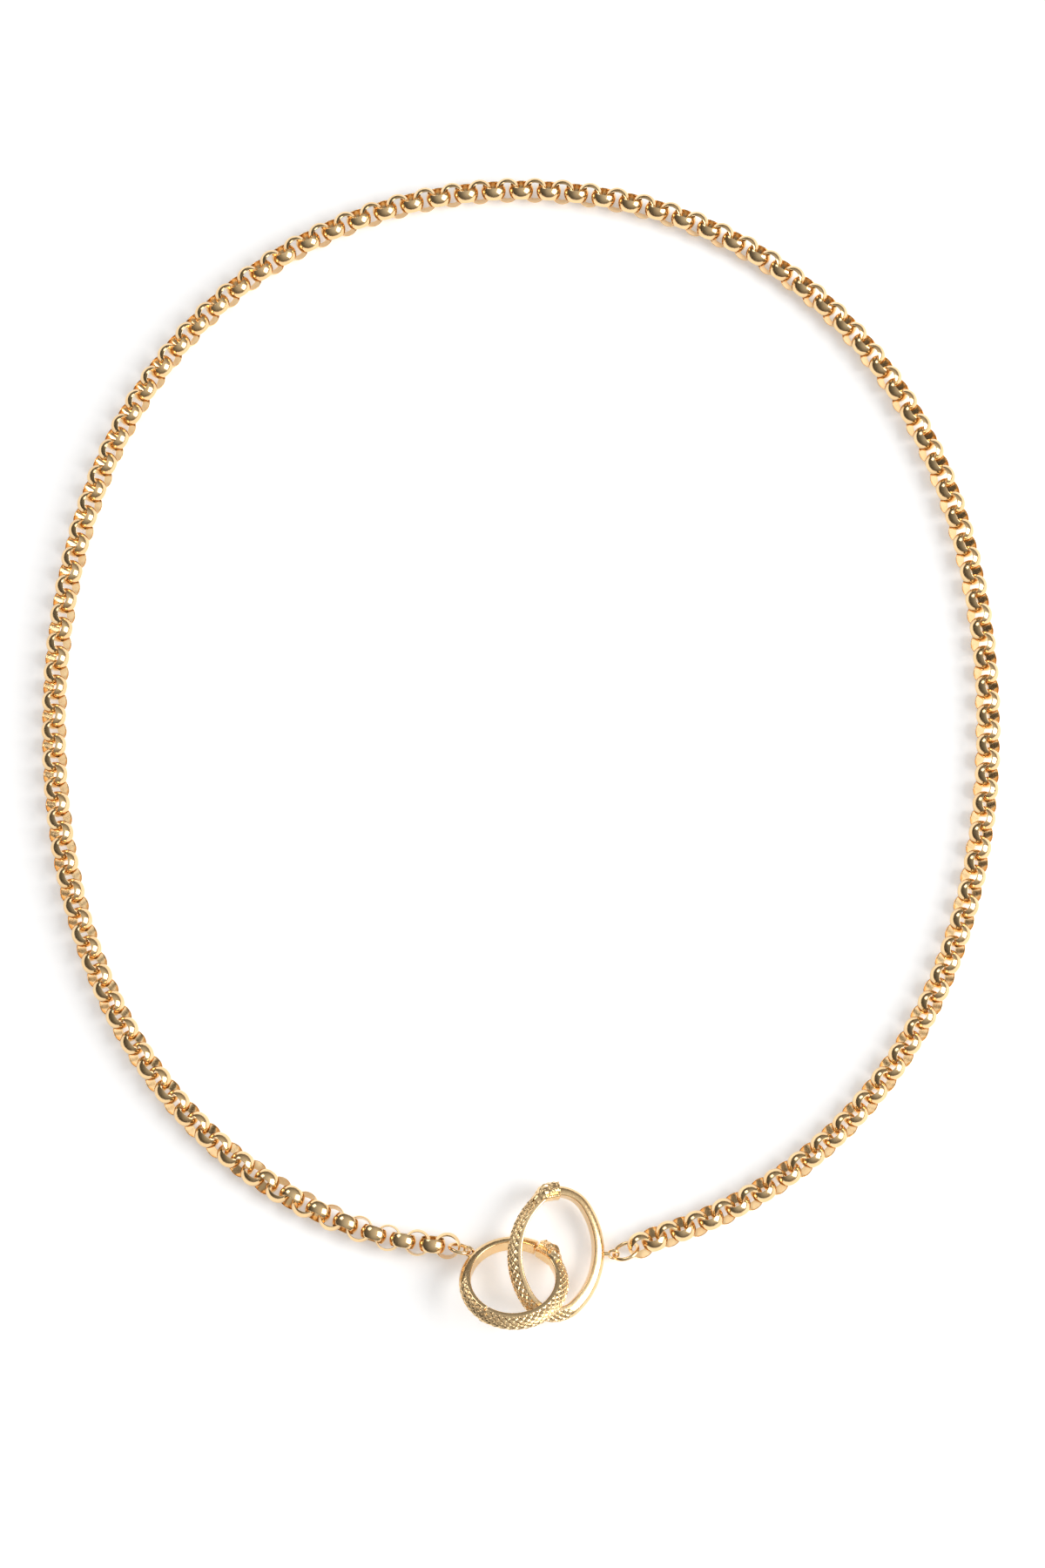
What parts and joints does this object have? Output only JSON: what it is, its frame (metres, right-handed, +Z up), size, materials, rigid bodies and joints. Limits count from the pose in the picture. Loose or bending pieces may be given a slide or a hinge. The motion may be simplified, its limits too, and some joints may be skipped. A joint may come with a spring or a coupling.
{
  "type": "chain necklace",
  "caption": "Gold belcher-link chain necklace closed at the front by two interlocked snake rings; the smaller ring is a hinged clasp gate.",
  "frame": {"origin": "centre of the footprint on the table, at the table surface", "axes": "+Z up from the table, +Y from the clasp towards the nape, +X to the right of someone who faces the open necklace"},
  "size_m": [0.1294, 0.1624, 0.0077],
  "materials": {
    "chain_gold": "polished gold",
    "ring_gold": "polished gold",
    "snake_gold": "cast and polished gold, engraved scales",
    "pin_steel": "gilt steel"
  },
  "bodies": {
    "nape": {"chain_back": "chain_gold"},
    "chain_left_01": {"chain_left_01": "chain_gold"},
    "chain_left_02": {"chain_left_02": "chain_gold"},
    "chain_left_03": {"chain_left_03": "chain_gold"},
    "chain_left_04": {"chain_left_04": "chain_gold"},
    "chain_left_05": {"chain_left_05": "chain_gold"},
    "chain_left_06": {"chain_left_06": "chain_gold"},
    "chain_left_07": {"chain_left_07": "chain_gold"},
    "chain_left_08": {"chain_left_08": "chain_gold"},
    "chain_left_09": {"chain_left_09": "chain_gold"},
    "chain_left_10": {"chain_left_10": "chain_gold"},
    "chain_left_11": {"chain_left_11": "chain_gold"},
    "chain_left_12": {"chain_left_12": "chain_gold"},
    "chain_left_13": {"chain_left_13": "chain_gold"},
    "chain_left_14": {"chain_left_14": "chain_gold"},
    "chain_left_15": {"chain_left_15": "chain_gold"},
    "chain_left_16": {"chain_left_16": "chain_gold"},
    "chain_left_17": {"chain_left_17": "chain_gold"},
    "chain_right_01": {"chain_right_01": "chain_gold"},
    "chain_right_02": {"chain_right_02": "chain_gold"},
    "chain_right_03": {"chain_right_03": "chain_gold"},
    "chain_right_04": {"chain_right_04": "chain_gold"},
    "chain_right_05": {"chain_right_05": "chain_gold"},
    "chain_right_06": {"chain_right_06": "chain_gold"},
    "chain_right_07": {"chain_right_07": "chain_gold"},
    "chain_right_08": {"chain_right_08": "chain_gold"},
    "chain_right_09": {"chain_right_09": "chain_gold"},
    "chain_right_10": {"chain_right_10": "chain_gold"},
    "chain_right_11": {"chain_right_11": "chain_gold"},
    "chain_right_12": {"chain_right_12": "chain_gold"},
    "chain_right_13": {"chain_right_13": "chain_gold"},
    "chain_right_14": {"chain_right_14": "chain_gold"},
    "chain_right_15": {"chain_right_15": "chain_gold"},
    "chain_right_16": {"chain_right_16": "chain_gold"},
    "chain_right_17": {"chain_right_17": "chain_gold"},
    "left_jump_ring": {"left_jump_ring": "ring_gold"},
    "right_jump_ring": {"right_jump_ring": "ring_gold"},
    "small_snake": {"small_snake_tail": "snake_gold", "small_snake_eye": "ring_gold", "gate_tongue": "snake_gold"},
    "gate": {"small_snake_head": "snake_gold", "gate_pin": "pin_steel"},
    "large_snake": {"large_snake_ring": "snake_gold", "large_snake_eye": "ring_gold"}
  },
  "joints": [
    {"name": "left_drape", "type": "hinge", "parent": "nape", "child": "chain_left_01", "pos_m": [-0.0087, 0.07888, 0.00174], "axis": [1, 0, 0], "range_deg": [-8, 8]},
    {"name": "right_drape", "type": "hinge", "parent": "nape", "child": "chain_right_01", "pos_m": [0.0087, 0.07888, 0.00174], "axis": [1, 0, 0], "range_deg": [-8, 8]},
    {"name": "left_bend_02", "type": "hinge", "parent": "chain_left_01", "child": "chain_left_02", "pos_m": [-0.02003, 0.07613, 0.00174], "axis": [0, 0, 1], "range_deg": [-7, 7]},
    {"name": "right_bend_02", "type": "hinge", "parent": "chain_right_01", "child": "chain_right_02", "pos_m": [0.02003, 0.07613, 0.00174], "axis": [0, 0, 1], "range_deg": [-7, 7]},
    {"name": "left_bend_03", "type": "hinge", "parent": "chain_left_02", "child": "chain_left_03", "pos_m": [-0.03066, 0.07118, 0.00174], "axis": [0, 0, 1], "range_deg": [-7, 7]},
    {"name": "right_bend_03", "type": "hinge", "parent": "chain_right_02", "child": "chain_right_03", "pos_m": [0.03066, 0.07118, 0.00174], "axis": [0, 0, 1], "range_deg": [-7, 7]},
    {"name": "left_bend_04", "type": "hinge", "parent": "chain_left_03", "child": "chain_left_04", "pos_m": [-0.04016, 0.06416, 0.00174], "axis": [0, 0, 1], "range_deg": [-7, 7]},
    {"name": "right_bend_04", "type": "hinge", "parent": "chain_right_03", "child": "chain_right_04", "pos_m": [0.04016, 0.06416, 0.00174], "axis": [0, 0, 1], "range_deg": [-7, 7]},
    {"name": "left_bend_05", "type": "hinge", "parent": "chain_left_04", "child": "chain_left_05", "pos_m": [-0.04816, 0.05529, 0.00174], "axis": [0, 0, 1], "range_deg": [-7, 7]},
    {"name": "right_bend_05", "type": "hinge", "parent": "chain_right_04", "child": "chain_right_05", "pos_m": [0.04816, 0.05529, 0.00174], "axis": [0, 0, 1], "range_deg": [-7, 7]},
    {"name": "left_bend_06", "type": "hinge", "parent": "chain_left_05", "child": "chain_left_06", "pos_m": [-0.0544, 0.04497, 0.00174], "axis": [0, 0, 1], "range_deg": [-7, 7]},
    {"name": "right_bend_06", "type": "hinge", "parent": "chain_right_05", "child": "chain_right_06", "pos_m": [0.0544, 0.04497, 0.00174], "axis": [0, 0, 1], "range_deg": [-7, 7]},
    {"name": "left_bend_07", "type": "hinge", "parent": "chain_left_06", "child": "chain_left_07", "pos_m": [-0.05884, 0.03363, 0.00174], "axis": [0, 0, 1], "range_deg": [-7, 7]},
    {"name": "right_bend_07", "type": "hinge", "parent": "chain_right_06", "child": "chain_right_07", "pos_m": [0.05884, 0.03363, 0.00174], "axis": [0, 0, 1], "range_deg": [-7, 7]},
    {"name": "left_bend_08", "type": "hinge", "parent": "chain_left_07", "child": "chain_left_08", "pos_m": [-0.0616, 0.02167, 0.00174], "axis": [0, 0, 1], "range_deg": [-7, 7]},
    {"name": "right_bend_08", "type": "hinge", "parent": "chain_right_07", "child": "chain_right_08", "pos_m": [0.0616, 0.02167, 0.00174], "axis": [0, 0, 1], "range_deg": [-7, 7]},
    {"name": "left_bend_09", "type": "hinge", "parent": "chain_left_08", "child": "chain_left_09", "pos_m": [-0.06286, 0.0094, 0.00174], "axis": [0, 0, 1], "range_deg": [-7, 7]},
    {"name": "right_bend_09", "type": "hinge", "parent": "chain_right_08", "child": "chain_right_09", "pos_m": [0.06286, 0.0094, 0.00174], "axis": [0, 0, 1], "range_deg": [-7, 7]},
    {"name": "left_bend_10", "type": "hinge", "parent": "chain_left_09", "child": "chain_left_10", "pos_m": [-0.06286, -0.0009, 0.00174], "axis": [0, 0, 1], "range_deg": [-7, 7]},
    {"name": "right_bend_10", "type": "hinge", "parent": "chain_right_09", "child": "chain_right_10", "pos_m": [0.06286, -0.0009, 0.00174], "axis": [0, 0, 1], "range_deg": [-7, 7]},
    {"name": "left_bend_11", "type": "hinge", "parent": "chain_left_10", "child": "chain_left_11", "pos_m": [-0.0616, -0.01317, 0.00174], "axis": [0, 0, 1], "range_deg": [-7, 7]},
    {"name": "right_bend_11", "type": "hinge", "parent": "chain_right_10", "child": "chain_right_11", "pos_m": [0.0616, -0.01317, 0.00174], "axis": [0, 0, 1], "range_deg": [-7, 7]},
    {"name": "left_bend_12", "type": "hinge", "parent": "chain_left_11", "child": "chain_left_12", "pos_m": [-0.05884, -0.02513, 0.00174], "axis": [0, 0, 1], "range_deg": [-7, 7]},
    {"name": "right_bend_12", "type": "hinge", "parent": "chain_right_11", "child": "chain_right_12", "pos_m": [0.05884, -0.02513, 0.00174], "axis": [0, 0, 1], "range_deg": [-7, 7]},
    {"name": "left_bend_13", "type": "hinge", "parent": "chain_left_12", "child": "chain_left_13", "pos_m": [-0.0544, -0.03647, 0.00174], "axis": [0, 0, 1], "range_deg": [-7, 7]},
    {"name": "right_bend_13", "type": "hinge", "parent": "chain_right_12", "child": "chain_right_13", "pos_m": [0.0544, -0.03647, 0.00174], "axis": [0, 0, 1], "range_deg": [-7, 7]},
    {"name": "left_bend_14", "type": "hinge", "parent": "chain_left_13", "child": "chain_left_14", "pos_m": [-0.04816, -0.04679, 0.00174], "axis": [0, 0, 1], "range_deg": [-7, 7]},
    {"name": "right_bend_14", "type": "hinge", "parent": "chain_right_13", "child": "chain_right_14", "pos_m": [0.04816, -0.04679, 0.00174], "axis": [0, 0, 1], "range_deg": [-7, 7]},
    {"name": "left_bend_15", "type": "hinge", "parent": "chain_left_14", "child": "chain_left_15", "pos_m": [-0.04016, -0.05566, 0.00174], "axis": [0, 0, 1], "range_deg": [-7, 7]},
    {"name": "right_bend_15", "type": "hinge", "parent": "chain_right_14", "child": "chain_right_15", "pos_m": [0.04016, -0.05566, 0.00174], "axis": [0, 0, 1], "range_deg": [-7, 7]},
    {"name": "left_bend_16", "type": "hinge", "parent": "chain_left_15", "child": "chain_left_16", "pos_m": [-0.03066, -0.06268, 0.00176], "axis": [0, 0, 1], "range_deg": [-7, 7]},
    {"name": "right_bend_16", "type": "hinge", "parent": "chain_right_15", "child": "chain_right_16", "pos_m": [0.03066, -0.06268, 0.00174], "axis": [0, 0, 1], "range_deg": [-7, 7]},
    {"name": "left_bend_17", "type": "hinge", "parent": "chain_left_16", "child": "chain_left_17", "pos_m": [-0.02003, -0.06763, 0.00179], "axis": [0, 0, 1], "range_deg": [-7, 7]},
    {"name": "right_bend_17", "type": "hinge", "parent": "chain_right_16", "child": "chain_right_17", "pos_m": [0.02003, -0.06763, 0.00174], "axis": [0, 0, 1], "range_deg": [-7, 7]},
    {"name": "left_ring_turn", "type": "hinge", "parent": "chain_left_17", "child": "left_jump_ring", "pos_m": [-0.0081, -0.0699, 0.00178], "axis": [1, 0, 0], "range_deg": [-10, 10]},
    {"name": "right_ring_turn", "type": "hinge", "parent": "chain_right_17", "child": "right_jump_ring", "pos_m": [0.014, -0.0699, 0.00178], "axis": [1, 0, 0], "range_deg": [-10, 10]},
    {"name": "small_snake_turn", "type": "hinge", "parent": "left_jump_ring", "child": "small_snake", "pos_m": [-0.0068, -0.0706, 0.0015], "axis": [1, 0, 0], "range_deg": [-10, 10]},
    {"name": "large_snake_turn", "type": "hinge", "parent": "right_jump_ring", "child": "large_snake", "pos_m": [0.012, -0.0706, 0.0015], "axis": [1, 0, 0], "range_deg": [-10, 10]},
    {"name": "gate_swing", "type": "hinge", "parent": "small_snake", "child": "gate", "pos_m": [-0.0049, -0.07925, 0.00617], "axis": [0, -0.4384, -0.8988], "range_deg": [0, 14]}
  ],
  "couplings": [
    {"joint": "right_drape", "follows": "left_drape", "ratio": 1},
    {"joint": "left_bend_17", "follows": "left_bend_02", "ratio": -1},
    {"joint": "right_bend_02", "follows": "left_bend_02", "ratio": 1},
    {"joint": "right_bend_17", "follows": "left_bend_02", "ratio": -1},
    {"joint": "left_bend_16", "follows": "left_bend_03", "ratio": -1},
    {"joint": "right_bend_03", "follows": "left_bend_03", "ratio": 1},
    {"joint": "right_bend_16", "follows": "left_bend_03", "ratio": -1},
    {"joint": "left_bend_15", "follows": "left_bend_04", "ratio": -1},
    {"joint": "right_bend_04", "follows": "left_bend_04", "ratio": 1},
    {"joint": "right_bend_15", "follows": "left_bend_04", "ratio": -1},
    {"joint": "left_bend_14", "follows": "left_bend_05", "ratio": -1},
    {"joint": "right_bend_05", "follows": "left_bend_05", "ratio": 1},
    {"joint": "right_bend_14", "follows": "left_bend_05", "ratio": -1},
    {"joint": "left_bend_13", "follows": "left_bend_06", "ratio": -1},
    {"joint": "right_bend_06", "follows": "left_bend_06", "ratio": 1},
    {"joint": "right_bend_13", "follows": "left_bend_06", "ratio": -1},
    {"joint": "left_bend_12", "follows": "left_bend_07", "ratio": -1},
    {"joint": "right_bend_07", "follows": "left_bend_07", "ratio": 1},
    {"joint": "right_bend_12", "follows": "left_bend_07", "ratio": -1},
    {"joint": "left_bend_11", "follows": "left_bend_08", "ratio": -1},
    {"joint": "right_bend_08", "follows": "left_bend_08", "ratio": 1},
    {"joint": "right_bend_11", "follows": "left_bend_08", "ratio": -1},
    {"joint": "left_bend_10", "follows": "left_bend_09", "ratio": -1},
    {"joint": "right_bend_09", "follows": "left_bend_09", "ratio": 1},
    {"joint": "right_bend_10", "follows": "left_bend_09", "ratio": -1},
    {"joint": "right_ring_turn", "follows": "left_ring_turn", "ratio": 1},
    {"joint": "large_snake_turn", "follows": "small_snake_turn", "ratio": 1}
  ]
}
